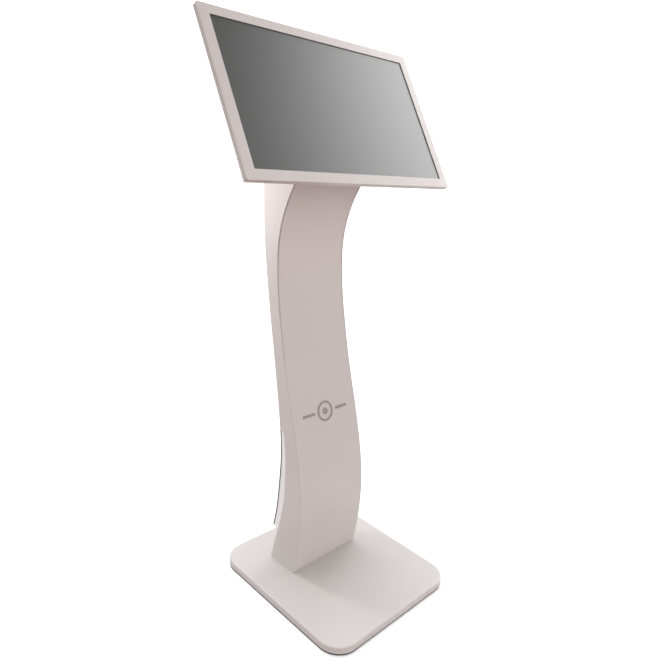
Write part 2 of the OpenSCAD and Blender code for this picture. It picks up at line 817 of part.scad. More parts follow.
module cover_glass() {
  color([0.35, 0.36, 0.37]) at_head() plate(glass_w, glass_h, -glass_back, -glass_front);
}
module glass_gasket() {
  inset = 3;
  color(black) at_head() difference() {
    plate(glass_w - 2 * inset, glass_h - 2 * inset, -gasket_back, -glass_back);
    plate(screen_w, screen_h, -back_depth, 0);
  }
}
lcd_screw_x = 300;
lcd_screw_v = 150;
module at_lcd_screws() {
  for (x = [-lcd_screw_x, lcd_screw_x], v = [-lcd_screw_v, lcd_screw_v]) translate([x, v, 0]) children();
}
module lcd_panel() {
  color([0.25, 0.25, 0.26]) at_head() difference() {
    union() {
      plate(lcd_w, lcd_h, -lcd_back, -gasket_back);
      at_lcd_screws() rod(6, -chassis_front, -lcd_back + eps);
    }
    at_lcd_screws() rod(panel_screw_r + run_gap, -chassis_front - 1, -lcd_back + 3);
  }
}
module lcd_screws() {
  color(steel) at_head() at_lcd_screws() {
    rod(panel_screw_r, -chassis_back - 0.5, -lcd_back + 2);
    rod(3.6, -chassis_back - 2.4, -chassis_back);
  }
}

// Electronics on the chassis
board_x = -215;
board_v = 60;
board_size = 170;
driver_x = 20;
driver_v = 120;
driver_w = 120;
driver_h = 80;
supply_x = 215;
supply_v = -90;
touch_x = -20;
touch_v = 60;
touch_w = 60;
touch_h = 30;
corner_in = 6;
function board_corners(x, v, w, h) =
  [for (sx = [-1, 1], sy = [-1, 1]) [x + sx * (w / 2 - corner_in), v + sy * (h / 2 - corner_in)]];
board_screw_list = concat(
  board_corners(board_x, board_v, board_size, board_size),
  board_corners(driver_x, driver_v, driver_w, driver_h),
  board_corners(touch_x, touch_v, touch_w, touch_h)
);
module at_board_screws() {
  for (p = board_screw_list) translate([p[0], p[1], 0]) children();
}
module board(x, v, w, h) {
  difference() {
    translate([x, v, 0]) plate(w, h, -board_front - board_t, -board_front);
    at_board_screws() rod(small_screw_r + bolt_gap, -back_depth, 0);
  }
}
// The board's rear face, with its row of ports and its two memory sockets
module main_board() {
  port_t = 7;
  socket_t = 5;
  socket_w = 7;
  color(board_green) at_head() {
    board(board_x, board_v, board_size, board_size);
    translate([board_x, board_v, board_rear]) {
      box(-80, -60, -60, 60, -port_t, 0);
      for (x = [50, 62]) box(x, x + socket_w, -65, 65, -socket_t, 0);
    }
  }
}
module heat_sink() {
  sink_w = 82;
  sink_h = 80;
  floor_t = 3;
  fins = 10;
  fin_pitch = 8;
  fin_t = 1.6;
  fin_h = 5;
  z0 = board_rear - floor_t;
  color(steel) at_head() translate([board_x - 5, board_v + 5, 0]) {
    plate(sink_w, sink_h, z0, board_rear);
    for (i = [0:fins - 1])
      translate([0, (i - (fins - 1) / 2) * fin_pitch, 0]) plate(sink_w, fin_t, z0 - fin_h, z0);
  }
}
module storage_drive() {
  drive_w = 100;
  drive_h = 68;
  drive_t = 7;
  color([0.2, 0.2, 0.22]) at_head()
    translate([-8, 6, 0]) plate(drive_w, drive_h, -chassis_back - drive_t, -chassis_back);
}
module lcd_driver_board() {
  chip_t = 3;
  plug_t = 6;
  color([0.1, 0.2, 0.4]) at_head() {
    board(driver_x, driver_v, driver_w, driver_h);
    translate([driver_x, driver_v, board_rear]) {
      box(-20, 0, -15, 5, -chip_t, 0);
      box(30, 50, -30, 30, -plug_t, 0);
    }
  }
}
module power_supply() {
  case_w = 180;
  case_h = 90;
  air_gap = 3;
  slot_pitch = 9;
  slot_w = 3;
  slot_h = 60;
  color(steel) at_head() translate([supply_x, supply_v, 0]) difference() {
    plate(case_w, case_h, air_gap - inner_back, -chassis_back);
    for (i = [-8:8])
      translate([i * slot_pitch, 0, 0]) plate(slot_w, slot_h, -inner_back, air_gap + 1 - inner_back);
  }
}
module touch_controller() {
  color(board_green) at_head() {
    board(touch_x, touch_v, touch_w, touch_h);
    translate([touch_x, touch_v, board_rear]) plate(12, 12, -2, 0);
  }
}
module board_screws() {
  post_r = 3;
  head_t = 2;
  color(steel) at_head() at_board_screws() {
    rod(small_screw_r, board_rear - head_t / 2, -chassis_back + 0.7);
    rod(post_r, board_rear - head_t, board_rear);
    rod(post_r, -board_front, -chassis_back);
  }
}
module speaker(side) {
  case_w = 86;
  case_h = 22;
  near = 2.2;
  far = 6;
  cone_x = 25;
  cone_r = 9;
  color(black) at_head() at_slope_speaker(side) difference() {
    plate(case_w, case_h, near, far);
    for (x = [-cone_x, cone_x]) translate([x, 0, 0]) rod(cone_r, near - 1, 4);
  }
}
module speaker_left() {
  speaker(-1);
}
module speaker_right() {
  speaker(1);
}

// Cooling fan
module at_fan() {
  at_head() translate([fan_x, fan_v, 0]) children();
}
module fan_frame() {
  strut_t = 2.5;
  screw_at = 35.75;
  plate_t = 3;
  z0 = -fan_back;
  color(black) at_fan() {
    difference() {
      rounded_plate(fan_size, fan_size, 5, z0, z0 + fan_t);
      rod(fan_bore, z0 - 1, z0 + fan_t + 1);
      for (x = [-screw_at, screw_at], y = [-screw_at, screw_at]) translate([x, y, 0]) rod(2.2, z0 - 1, 0);
    }
    difference() {
      union() {
        rod(hub_r, z0 + fan_t - plate_t, z0 + fan_t);
        for (a = [0:90:270]) rotate(a)
          box(hub_r - 1, fan_bore + 0.5, -2, 2, z0 + fan_t - strut_t, z0 + fan_t);
      }
      rod(fan_shaft_r + run_gap, z0, 0);
    }
  }
}
module fan_rotor() {
  blades = 7;
  blade_t = 1.2;
  chord = 13;
  pitch = 35;
  span = fan_bore - hub_r;
  z0 = -fan_back;
  color(black) at_fan() {
    rod(hub_r, z0 + 2, z0 + fan_t - 3.6);
    rod(fan_shaft_r, z0 + 3, z0 + fan_t - 0.5);
    for (i = [0:blades - 1]) rotate(i * 360 / blades)
      translate([hub_r + span / 2 - blade_t, 0, z0 + 6.5]) rotate([pitch, 0, 0])
        cube([span - blade_t, chord, blade_t], center = true);
  }
}

// Service hatch and power button on the rear cover
hatch_w = 146;
hatch_h = 50;
hatch_rim = 8;
module at_hatch_screws() {
  x = hatch_w / 2 - 4;
  v = hatch_h / 2 - 4;
  for (sx = [-x, x], sv = [-v, v]) translate([hatch_x + sx, hatch_v + sv, 0]) children();
}
module service_hatch() {
  color(paint) at_head() difference() {
    translate([hatch_x, hatch_v, 0]) rounded_plate(hatch_w, hatch_h, 5, -back_depth - shell_t, -back_depth);
    at_hatch_screws() rod(small_screw_r + bolt_gap, -back_depth - 5, 0);
  }
}
module hatch_screws() {
  head_r = 2.8;
  head_t = 1.5;
  z0 = -back_depth - shell_t;
  color(steel) at_head() at_hatch_screws() {
    rod(small_screw_r, z0 - head_t / 2, -back_depth);
    rod(head_r, z0 - head_t, z0);
  }
}
module at_button() {
  at_head() translate([button_x, button_v, 0]) children();
}
collar_r = 9.5;
collar_depth = 14;
module power_button_bezel() {
  ring_r = 12;
  ring_t = 2.5;
  floor_t = 2;
  color(steel) at_button() difference() {
    union() {
      rod(ring_r, -back_depth - ring_t, -back_depth);
      rod(collar_r, -back_depth, collar_depth - back_depth);
    }
    rod(button_r + run_gap, -back_depth - ring_t - 1, collar_depth - floor_t - back_depth);
  }
}
module power_button() {
  proud = 4;
  inside = 8;
  color([0.2, 0.2, 0.21]) at_button() rod(button_r, -back_depth - proud, inside - back_depth);
}

base_cover();
base_edging();
base_ballast_plate();
base_feet();
foot_screws();
column_foot_flange();
column_foot_bolts();
column_front_skin();
column_cheek_left();
column_cheek_right();
column_upper_rear_panel();
column_diaphragms();
kick_panel();
kick_panel_screws();
inlet_socket();
inlet_pins();
switch_housing();
switch_rocker();
mains_filter();
mains_lead();
door_hinge_brackets();
door_hinge_pins();
lock_striker();
service_door();
door_pivot_blocks();
door_edge_trim();
lock_barrel();
lock_nut();
lock_plug();
lock_cam();
column_emblem();
head_mount_plate();
head_mount_bolts();
head_chassis();
rear_cover();
rear_cover_screws();
rim_screws();
bezel_frame();
front_seal();
cover_glass();
glass_gasket();
lcd_panel();
lcd_screws();
main_board();
heat_sink();
storage_drive();
lcd_driver_board();
power_supply();
touch_controller();
board_screws();
speaker_left();
speaker_right();
fan_frame();
fan_rotor();
service_hatch();
hatch_screws();
power_button_bezel();
power_button();
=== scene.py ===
import json
import math

import bmesh
import bpy
from mathutils import Matrix, Vector

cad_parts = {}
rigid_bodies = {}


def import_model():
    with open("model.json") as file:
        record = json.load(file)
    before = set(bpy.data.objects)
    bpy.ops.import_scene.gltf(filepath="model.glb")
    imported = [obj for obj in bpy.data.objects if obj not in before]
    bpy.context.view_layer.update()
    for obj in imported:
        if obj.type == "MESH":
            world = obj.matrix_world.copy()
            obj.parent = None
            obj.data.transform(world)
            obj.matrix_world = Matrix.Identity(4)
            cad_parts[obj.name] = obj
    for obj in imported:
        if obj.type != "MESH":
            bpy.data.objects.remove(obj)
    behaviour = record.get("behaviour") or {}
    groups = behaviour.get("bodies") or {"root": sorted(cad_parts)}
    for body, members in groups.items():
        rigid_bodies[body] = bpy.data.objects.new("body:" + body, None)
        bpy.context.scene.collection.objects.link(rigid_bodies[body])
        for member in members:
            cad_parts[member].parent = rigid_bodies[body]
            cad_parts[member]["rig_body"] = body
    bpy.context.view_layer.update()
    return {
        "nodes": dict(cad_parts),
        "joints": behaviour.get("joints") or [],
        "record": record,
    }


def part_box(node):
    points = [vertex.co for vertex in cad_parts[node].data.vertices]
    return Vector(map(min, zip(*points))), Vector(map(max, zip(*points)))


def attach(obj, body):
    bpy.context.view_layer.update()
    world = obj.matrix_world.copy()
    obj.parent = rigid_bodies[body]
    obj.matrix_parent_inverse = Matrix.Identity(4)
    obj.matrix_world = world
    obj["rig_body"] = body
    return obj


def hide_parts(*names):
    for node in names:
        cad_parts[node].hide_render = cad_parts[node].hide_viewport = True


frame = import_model()
nodes = frame["nodes"]
record = frame["record"]

# ---------------------------------------------------------------- places from the frame

MM = 0.001
SAME = 0.01 * MM    # places closer than this are the same
slot_of = {part["node"]: part["material_slot"] for part in record["subparts"]}
body_of = {name: piece["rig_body"] for name, piece in nodes.items()}
joint_of = {joint["name"]: joint for joint in frame["joints"]}

RIGHT = Vector((1, 0, 0))
REARWARD = Vector((0, 1, 0))
OUTWARD = Vector(joint_of["button_press"]["axis"]).normalized()     # square to the screen
FACE_UP = OUTWARD.cross(RIGHT)                                      # up along the screen
base_low, base_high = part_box("base_cover")
base_centre_y = (base_low.y + base_high.y) / 2


def add_object(name, data):
    made = bpy.data.objects.new(name, data)
    bpy.context.scene.collection.objects.link(made)
    return made


# ---------------------------------------------------------------- camera

CAMERA_PLACE = Vector((-1.1774, base_centre_y - 1.0478, 1.2102))
CAMERA_TURN = 0.7788     # from +Y towards +X, in radians
CAMERA_DIP = 0.2266      # below level
CAMERA_ROLL = 0.0772
CAMERA_LENS = 31.93      # for a sensor 36 wide
CAMERA_SHIFT = (0.0196, -0.0586)


def make_camera():
    data = bpy.data.cameras.new("camera")
    data.sensor_width = 36
    data.lens = CAMERA_LENS
    data.shift_x, data.shift_y = CAMERA_SHIFT
    data.clip_start, data.clip_end = 0.05, 100
    ahead = Vector((math.sin(CAMERA_TURN) * math.cos(CAMERA_DIP),
                    math.cos(CAMERA_TURN) * math.cos(CAMERA_DIP),
                    -math.sin(CAMERA_DIP)))
    level = Vector((math.cos(CAMERA_TURN), -math.sin(CAMERA_TURN), 0))
    upright = level.cross(ahead)
    right = math.cos(CAMERA_ROLL) * level + math.sin(CAMERA_ROLL) * upright
    up = -math.sin(CAMERA_ROLL) * level + math.cos(CAMERA_ROLL) * upright
    turn = Matrix((right, up, -ahead)).transposed()
    camera = add_object("camera", data)
    camera.matrix_world = Matrix.Translation(CAMERA_PLACE) @ turn.to_4x4()
    bpy.context.scene.camera = camera


# ---------------------------------------------------------------- materials

def new_material(name):
    material = bpy.data.materials.new(name)
    material.use_nodes = True
    tree = material.node_tree
    shader = tree.nodes["Principled BSDF"]
    return material, tree, shader


def node(tree, kind, **inputs):
    made = tree.nodes.new(kind)
    for key, value in inputs.items():
        made.inputs[key.replace("_", " ")].default_value = value
    return made


def noise(tree, scale, detail=3.0, roughness=0.55):
    place = tree.nodes.new("ShaderNodeTexCoord")
    made = node(tree, "ShaderNodeTexNoise", Scale=scale, Detail=detail, Roughness=roughness)
    tree.links.new(place.outputs["Object"], made.inputs["Vector"])
    return made.outputs["Fac"]


def ramp(tree, value, low, high, at=(0.35, 0.65)):
    made = tree.nodes.new("ShaderNodeValToRGB")
    made.color_ramp.elements[0].position, made.color_ramp.elements[1].position = at
    made.color_ramp.elements[0].color = low
    made.color_ramp.elements[1].color = high
    tree.links.new(value, made.inputs["Fac"])
    return made.outputs["Color"]


def grey(value):
    return (value, value, value, 1)


def shade(colour, factor):
    return tuple(min(1, c * factor) for c in colour[:3]) + (1,)


def bump(tree, shader, height, strength, distance):
    made = node(tree, "ShaderNodeBump", Strength=strength, Distance=distance)
    tree.links.new(height, made.inputs["Height"])
    tree.links.new(made.outputs["Normal"], shader.inputs["Normal"])


def surface(name, colour, rough, metallic=0.0, spread=0.03, rough_spread=0.05,
            tone_scale=9, grain_scale=900, grain_depth=0.00004, specular=0.5):
    """A solid finish: slow tone drift, patchy gloss and a fine grain."""
    material, tree, shader = new_material(name)
    tone = ramp(tree, noise(tree, tone_scale, 4), shade(colour, 1 - spread), shade(colour, 1 + spread))
    tree.links.new(tone, shader.inputs["Base Color"])
    gloss = ramp(tree, noise(tree, tone_scale * 4, 3),
                 grey(rough - rough_spread), grey(rough + rough_spread))
    tree.links.new(gloss, shader.inputs["Roughness"])
    shader.inputs["Metallic"].default_value = metallic
    shader.inputs["Specular IOR Level"].default_value = specular
    bump(tree, shader, noise(tree, grain_scale, 2), 0.35, grain_depth)
    return material


def paint(name, colour, rough, peel=0.00006, coat=0.25):
    """Powder coat: soft orange peel over a fine texture, under a thin clear layer."""
    material, tree, shader = new_material(name)
    tone = ramp(tree, noise(tree, 3.5, 5), shade(colour, 0.985), shade(colour, 1.015))
    tree.links.new(tone, shader.inputs["Base Color"])
    gloss = ramp(tree, noise(tree, 22, 4), grey(rough - 0.04), grey(rough + 0.04))
    tree.links.new(gloss, shader.inputs["Roughness"])
    shader.inputs["Coat Weight"].default_value = coat
    shader.inputs["Coat Roughness"].default_value = 0.22
    peel_noise = noise(tree, 420, 2, 0.4)
    grain = noise(tree, 2400, 2, 0.5)
    mix = node(tree, "ShaderNodeMath")
    mix.operation = "MULTIPLY_ADD"
    mix.inputs[1].default_value = 0.25
    tree.links.new(grain, mix.inputs[0])
    tree.links.new(peel_noise, mix.inputs[2])
    bump(tree, shader, mix.outputs[0], 0.3, peel)
    return material


LEVEL_LINES = (1, 1, 40)
UPRIGHT_LINES = (40, 1, 1)


def brushed(name, colour, rough, along=LEVEL_LINES):
    """Metal with fine lines drawn one way."""
    material, tree, shader = new_material(name)
    place = tree.nodes.new("ShaderNodeTexCoord")
    stretch = tree.nodes.new("ShaderNodeMapping")
    stretch.inputs["Scale"].default_value = along
    tree.links.new(place.outputs["Object"], stretch.inputs["Vector"])
    lines = node(tree, "ShaderNodeTexNoise", Scale=160, Detail=4, Roughness=0.6)
    tree.links.new(stretch.outputs["Vector"], lines.inputs["Vector"])
    tone = ramp(tree, lines.outputs["Fac"], shade(colour, 0.93), shade(colour, 1.06))
    tree.links.new(tone, shader.inputs["Base Color"])
    gloss = ramp(tree, lines.outputs["Fac"], grey(rough - 0.06), grey(rough + 0.08))
    tree.links.new(gloss, shader.inputs["Roughness"])
    shader.inputs["Metallic"].default_value = 1.0
    bump(tree, shader, lines.outputs["Fac"], 0.25, 0.00003)
    return material


def screen_glass(name):
    """Anti-glare glass over an unlit panel: dark below, a soft broad sheen on top."""
    material, tree, shader = new_material(name)
    tone = ramp(tree, noise(tree, 2.0, 3), (0.022, 0.022, 0.021, 1), (0.026, 0.026, 0.025, 1))
    tree.links.new(tone, shader.inputs["Base Color"])
    etch = ramp(tree, noise(tree, 2600, 2), grey(0.29), grey(0.34))
    tree.links.new(etch, shader.inputs["Roughness"])
    shader.inputs["IOR"].default_value = 1.75
    shader.inputs["Specular IOR Level"].default_value = 0.8
    bump(tree, shader, noise(tree, 3200, 2), 0.12, 0.00001)
    return material


WHITE = (0.650, 0.610, 0.594)
FINISHES = {
    "white_paint": lambda name: paint(name, WHITE, 0.42),
    # The door's white is lighter than the body's white: painted light, standing in for the light that falls
    # on the door's edge strip beside the cheek.
    "door_paint": lambda name: paint(name, (0.84, 0.84, 0.83), 0.38),
    "zinc_steel": lambda name: brushed(name, (0.52, 0.53, 0.55), 0.38),
    "dark_steel": lambda name: surface(name, (0.05, 0.05, 0.055), 0.5, 0.8),
    "bright_steel": lambda name: brushed(name, (0.48, 0.48, 0.49), 0.28),
    "lock_brass": lambda name: brushed(name, (0.72, 0.55, 0.24), 0.25),
    "foot_rubber": lambda name: surface(name, (0.018, 0.018, 0.018), 0.8, grain_depth=0.0001),
    "trim_rubber": lambda name: surface(name, (0.11, 0.11, 0.11), 0.7, grain_depth=0.00008),
    "black_plastic": lambda name: surface(name, (0.018, 0.018, 0.02), 0.5, grain_depth=0.00008),
    "button_plastic": lambda name: surface(name, (0.06, 0.06, 0.065), 0.4),
    "red_plastic": lambda name: surface(name, (0.45, 0.02, 0.015), 0.25, grain_depth=0.00001),
    "filter_case": lambda name: brushed(name, (0.58, 0.58, 0.57), 0.35, UPRIGHT_LINES),
    "lead_jacket": lambda name: surface(name, (0.02, 0.02, 0.022), 0.55),
    "emblem_metal": lambda name: brushed(name, (0.27, 0.22, 0.20), 0.4, UPRIGHT_LINES),
    "screen_glass": screen_glass,
    "panel_metal": lambda name: surface(name, (0.07, 0.07, 0.075), 0.5, 0.3),
    "green_board": lambda name: surface(name, (0.01, 0.11, 0.04), 0.35),
    "blue_board": lambda name: surface(name, (0.01, 0.03, 0.16), 0.35),
    "fin_aluminium": lambda name: brushed(name, (0.6, 0.61, 0.62), 0.35, UPRIGHT_LINES),
}
materials = {slot: build(slot) for slot, build in FINISHES.items()}


# ---------------------------------------------------------------- reading shapes from the frame

def spans(name, axes):
    """Lowest and highest place of a CAD node along each axis."""
    along = [[vertex.co.dot(axis) for vertex in nodes[name].data.vertices] for axis in axes]
    return [(min(values), max(values)) for values in along]


def solids(name):
    """Vertex places of each separate solid in a CAD node."""
    build = bmesh.new()
    build.from_mesh(nodes[name].data)
    bmesh.ops.remove_doubles(build, verts=build.verts, dist=SAME)
    left = set(build.verts)
    groups = []
    while left:
        edge = [left.pop()]
        group = []
        while edge:
            vertex = edge.pop()
            group.append(vertex.co.copy())
            near = [link.other_vert(vertex) for link in vertex.link_edges]
            fresh = [other for other in near if other in left]
            left.difference_update(fresh)
            edge.extend(fresh)
        groups.append(group)
    build.free()
    return sorted(groups, key=lambda group: tuple(round(value, 4) for value in group_middle(group)))


def group_middle(group):
    return [sum(values) / len(group) for values in zip(*group)]


def side_outline(name, at_x):
    """The outline of a plate's flat side at that x, as one loop of (y, z)."""
    mesh = nodes[name].data
    uses = {}
    for face in mesh.polygons:
        corners = [mesh.vertices[index].co for index in face.vertices]
        if max(abs(corner.x - at_x) for corner in corners) > SAME:
            continue
        keys = [(round(corner.y, 6), round(corner.z, 6)) for corner in corners]
        for first, second in zip(keys, keys[1:] + keys[:1]):
            link = frozenset((first, second))
            uses[link] = uses.get(link, 0) + 1
    near = {}
    for link, count in uses.items():
        if count == 1 and len(link) == 2:
            first, second = link
            near.setdefault(first, []).append(second)
            near.setdefault(second, []).append(first)
    start = min(near)
    loop = [start]
    before, here = None, start
    while True:
        step = next(place for place in sorted(near[here]) if place != before)
        if step == start:
            break
        loop.append(step)
        before, here = here, step
    return [Vector(place) for place in loop]


def chains(loop, bend=18):
    """Cuts a loop at its sharp corners."""
    count = len(loop)
    corners = []
    for index in range(count):
        into = loop[index] - loop[index - 1]
        out = loop[(index + 1) % count] - loop[index]
        if into.angle(out) > math.radians(bend):
            corners.append(index)
    parts = []
    for first, second in zip(corners, corners[1:] + [corners[0] + count]):
        parts.append([loop[index % count] for index in range(first, second + 1)])
    return parts


def smoothed(points, steps=4):
    """A smooth curve through the points, with that many steps on each stretch."""
    if len(points) < 4:
        return points
    curve = []
    for index in range(len(points) - 1):
        b, c = points[index], points[index + 1]
        a = points[index - 1] if index > 0 else 2 * b - c
        d = points[index + 2] if index + 2 < len(points) else 2 * c - b
        for step in range(steps):
            t = step / steps
            curve.append(0.5 * (2 * b + (c - a) * t + (2 * a - 5 * b + 4 * c - d) * t ** 2
                                + (3 * b - a - 3 * c + d) * t ** 3))
    curve.append(points[-1])
    return curve


# ---------------------------------------------------------------- mesh tools

def quarter(steps=4):
    """Sine and cosine round a quarter turn."""
    turns = [math.pi / 2 * step / steps for step in range(steps + 1)]
    return [(math.sin(turn), math.cos(turn)) for turn in turns]


def loft(build, rings, joined=False, capped=False):
    """Skins a row of closed rings. Joined links the last ring to the first."""
    rows = [[build.verts.new(place) for place in ring] for ring in rings]
    pairs = list(zip(rows, rows[1:]))
    if joined:
        pairs.append((rows[-1], rows[0]))
    for lower, upper in pairs:
        count = len(lower)
        for index in range(count):
            after = (index + 1) % count
            build.faces.new((lower[index], lower[after], upper[after], upper[index]))
    if capped:
        build.faces.new(rows[0])
        build.faces.new(list(reversed(rows[-1])))


SHARP = 35      # degrees from which an edge looks sharp


def new_piece(build, name, stands_for, sharp=SHARP):
    """Makes a piece that stands for a CAD node: it rides on the same body and has the same slot."""
    bmesh.ops.recalc_face_normals(build, faces=build.faces)
    for edge in build.edges:
        edge.smooth = len(edge.link_faces) == 2 and edge.calc_face_angle() < math.radians(sharp)
    for face in build.faces:
        face.smooth = True
    mesh = bpy.data.meshes.new(name)
    build.to_mesh(mesh)
    build.free()
    piece = add_object(name, mesh)
    mesh.materials.append(materials[slot_of[stands_for]])
    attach(piece, body_of[stands_for])
    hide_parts(stands_for)
    normals = piece.modifiers.new("normals", "WEIGHTED_NORMAL")
    normals.keep_sharp = True


def drill(build, holes):
    """Cuts round holes, each given by two ends and a radius, and returns the cut mesh."""
    body = bpy.data.meshes.new("drilled")
    bmesh.ops.recalc_face_normals(build, faces=build.faces)
    build.to_mesh(body)
    build.free()
    cutter = bmesh.new()
    for start, end, radius in holes:
        along = end - start
        place = Matrix.Translation((start + end) / 2) @ along.to_track_quat("Z", "Y").to_matrix().to_4x4()
        bmesh.ops.create_cone(cutter, cap_ends=True, segments=40, radius1=radius, radius2=radius,
                              depth=along.length, matrix=place)
    tool_mesh = bpy.data.meshes.new("drill")
    cutter.to_mesh(tool_mesh)
    cutter.free()
    work = add_object("drilled", body)
    tool = add_object("drill", tool_mesh)
    cut = work.modifiers.new("cut", "BOOLEAN")
    cut.operation = "DIFFERENCE"
    cut.solver = "EXACT"
    cut.object = tool
    bpy.context.view_layer.update()
    result = work.evaluated_get(bpy.context.evaluated_depsgraph_get()).to_mesh()
    made = bmesh.new()
    made.from_mesh(result)
    for item, mesh in ((work, body), (tool, tool_mesh)):
        bpy.data.objects.remove(item)
        bpy.data.meshes.remove(mesh)
    return made


# ---------------------------------------------------------------- head

bezel_span = spans("bezel_frame", (RIGHT, FACE_UP, OUTWARD))
HEAD_MIDDLE = FACE_UP * sum(bezel_span[1]) / 2 + OUTWARD * bezel_span[2][1]
head_half = ((bezel_span[0][1] - bezel_span[0][0]) / 2, (bezel_span[1][1] - bezel_span[1][0]) / 2)
rim_depth = bezel_span[2][1] - bezel_span[2][0]


def in_head(x, up, out):
    return HEAD_MIDDLE + RIGHT * x + FACE_UP * up + OUTWARD * out


def off_the_rim(screw):
    """Up or down along the screen, whichever points away from the head's middle."""
    return FACE_UP if (Vector(group_middle(screw)) - HEAD_MIDDLE).dot(FACE_UP) > 0 else -FACE_UP


def bezel_opening():
    """Half sizes of the opening: the front face's corners nearest the middle."""
    front = []
    for vertex in nodes["bezel_frame"].data.vertices:
        place = vertex.co - HEAD_MIDDLE
        if place.dot(OUTWARD) > -SAME:
            front.append((abs(place.x), abs(place.dot(FACE_UP))))
    return min(place[0] for place in front), min(place[1] for place in front)


def head_ring(half_x, half_up, corner, out, steps=8):
    """A rounded rectangle square to the screen's normal."""
    ring = []
    for turn, (sign_x, sign_up) in enumerate(((1, 1), (-1, 1), (-1, -1), (1, -1))):
        for step in range(steps + 1):
            angle = math.pi / 2 * (turn + step / steps)
            x = sign_x * (half_x - corner) + corner * math.cos(angle)
            up = sign_up * (half_up - corner) + corner * math.sin(angle)
            ring.append(in_head(x, up, out))
    return ring


HEAD_CORNER = 7 * MM        # radius of the bezel's four outer corners
INNER_CORNER = 2 * MM       # the least corner radius inside the sheet
OPENING_CORNER = 0.6 * MM
EDGE_ROUND = 1.3 * MM       # between the bezel's front and its rim
OPENING_ROUND = 0.5 * MM    # between its front and the opening's wall
RIM_BREAK = 0.4 * MM        # chamfer at the rim's rear
SHEET = 1.5 * MM
# A shadow line round the rim: where it starts and ends behind the front face, and how deep it is cut
GROOVE = (5.2 * MM, 7.4 * MM)
GROOVE_DEPTH = 1.3 * MM
GROOVE_WALL = 0.2 * MM      # how far each wall leans in on the way down
GROOVE_LIP = (0.3 * GROOVE_DEPTH, 0.15 * MM)    # a point on each wall: how far down, and how far it leans in
RIM_HOLE = 3 * MM
RIM_DRILL = (6 * MM, 12 * MM)    # how far the drill reaches inwards and outwards from each screw


def make_bezel():
    """A folded frame of sheet round the screen, with a groove round its rim and holes for its screws."""
    open_x, open_up = bezel_opening()
    profile = []    # rings that follow the sheet's section all the way round

    def outer(inset, depth):
        profile.append(head_ring(head_half[0] - inset, head_half[1] - inset,
                                 max(HEAD_CORNER - inset, INNER_CORNER), -depth))

    def opening(grow, depth):
        profile.append(head_ring(open_x + grow, open_up + grow, OPENING_CORNER + grow, -depth))

    opening(0, SHEET)
    for sine, cosine in quarter():
        opening(OPENING_ROUND * (1 - cosine), OPENING_ROUND * (1 - sine))
    for sine, cosine in quarter(6):
        outer(EDGE_ROUND * (1 - sine), EDGE_ROUND * (1 - cosine))
    start, end = GROOVE
    lip_inset, lip_step = GROOVE_LIP
    outer(0, start)
    outer(lip_inset, start + lip_step)
    outer(GROOVE_DEPTH, start + GROOVE_WALL)
    outer(GROOVE_DEPTH, end - GROOVE_WALL)
    outer(lip_inset, end - lip_step)
    outer(0, end)
    outer(0, rim_depth - RIM_BREAK)
    outer(RIM_BREAK, rim_depth)
    outer(SHEET, rim_depth)
    outer(SHEET, SHEET)
    build = bmesh.new()
    loft(build, profile, joined=True)
    holes = []
    for screw in solids("rim_screws"):
        middle = Vector(group_middle(screw))
        out = off_the_rim(screw)
        holes.append((middle - out * RIM_DRILL[0], middle + out * RIM_DRILL[1], RIM_HOLE))
    new_piece(drill(build, holes), "bezel_shell", "bezel_frame")


# ---------------------------------------------------------------- column

skin_low, skin_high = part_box("column_front_skin")
cheek_low, cheek_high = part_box("column_cheek_left")
# Rounding of the sheets' long edges
CHEEK_EDGE = 0.7 * MM
SKIN_EDGE = 0.5 * MM
PANEL_EDGE = 0.8 * MM
# The gap between the front skin and each cheek, at half height and below, and at the top
SEAM_LOW = 0.45 * MM
SEAM_HIGH = 2.5 * MM
PANEL_GAP = 0.5 * MM        # between the rear panel and each cheek
PANEL_FOLD = 3 * MM         # outer radius of the fold at its lower end
CHEEK_BREAK = 0.2 * MM      # chamfer of a cheek's inner edge
LEAST_MITRE = 0.5           # keeps a sharp corner from moving too far when its loop is inset


def slab(build, chain, half_at, thick, inward, edge):
    """A sheet bent along a (y, z) curve, with rounded side edges.

    half_at gives its half width by height, and inward is the side of the curve that its thickness is on.
    """
    rings = []
    for index, place in enumerate(chain):
        along = chain[min(index + 1, len(chain) - 1)] - chain[max(index - 1, 0)]
        normal = Vector((-along.y, along.x)).normalized() * inward
        half = half_at(place.y)
        section = []
        for sine, cosine in quarter():
            section.append((half - edge * (1 - cosine), edge * (1 - sine)))
        section += [(-x, depth) for x, depth in reversed(section)]
        section += [(-half, thick), (half, thick)]
        rings.append([(x, place.x + normal.x * depth, place.y + normal.y * depth) for x, depth in section])
    loft(build, rings, capped=True)


def long_chains(name):
    """The two long curves of a bent sheet's side: the front one, then the rear one."""
    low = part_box(name)[0]
    parts = sorted(chains(side_outline(name, low.x)), key=len)[-2:]
    curves = [part if part[0].y < part[-1].y else part[::-1] for part in parts]
    return sorted(curves, key=lambda curve: sum(place.x for place in curve) / len(curve))


def make_front_skin():
    """The wide front sheet, with a seam beside each cheek that opens towards the top."""
    front, rear = long_chains("column_front_skin")
    middle = (skin_low.z + skin_high.z) / 2

    def half_at(height):
        share = min(max((height - middle) / (skin_high.z - middle), 0), 1)
        return skin_high.x - (SEAM_LOW + (SEAM_HIGH - SEAM_LOW) * math.sqrt(share))

    build = bmesh.new()
    slab(build, smoothed(front), half_at, (front[0] - rear[0]).length, -1, SKIN_EDGE)
    new_piece(build, "front_skin_sheet", "column_front_skin")


